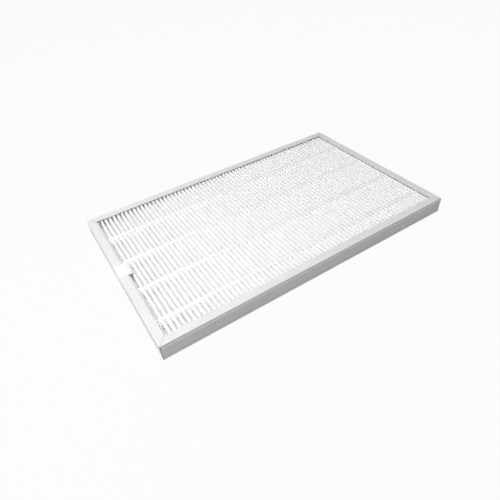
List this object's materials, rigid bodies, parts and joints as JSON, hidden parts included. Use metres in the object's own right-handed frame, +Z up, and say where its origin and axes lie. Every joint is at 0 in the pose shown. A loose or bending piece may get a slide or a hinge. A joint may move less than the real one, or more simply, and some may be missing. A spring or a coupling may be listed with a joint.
{
  "type": "ventilation filter",
  "caption": "Flat rectangular mini-pleat air filter: white pleated media with glue rows in a mitred light metal channel frame, with a pull tab over one short side.",
  "frame": {"origin": "middle of the frame's footprint, in the plane of its lower face", "axes": "+X along the long sides, away from the pull tab; +Y along the short sides, from the front rail to the back rail; +Z up, through the thickness, towards the face that carries the pull tab"},
  "size_m": [0.3904, 0.24, 0.0214],
  "materials": {
    "frame_metal": "matt mill finish",
    "angle_metal": "plain zinc coated",
    "filter_media": "matt, fibrous",
    "glue": "soft satin, slightly ragged",
    "sealant": "matt, moulded in place",
    "tab_fabric": "matt, bonded fibres"
  },
  "bodies": {
    "root": {"front_rail": "frame_metal", "right_rail": "frame_metal", "back_rail": "frame_metal", "left_rail": "frame_metal", "front_left_corner_angle": "angle_metal", "front_right_corner_angle": "angle_metal", "back_right_corner_angle": "angle_metal", "back_left_corner_angle": "angle_metal", "front_edge_seal": "sealant", "right_edge_seal": "sealant", "back_edge_seal": "sealant", "left_edge_seal": "sealant", "pleated_media": "filter_media", "upper_glue_bead_1": "glue", "upper_glue_bead_2": "glue", "upper_glue_bead_3": "glue", "upper_glue_bead_4": "glue", "lower_glue_bead_1": "glue", "lower_glue_bead_2": "glue", "lower_glue_bead_3": "glue", "lower_glue_bead_4": "glue", "pull_tab": "tab_fabric"}
  },
  "joints": []
}
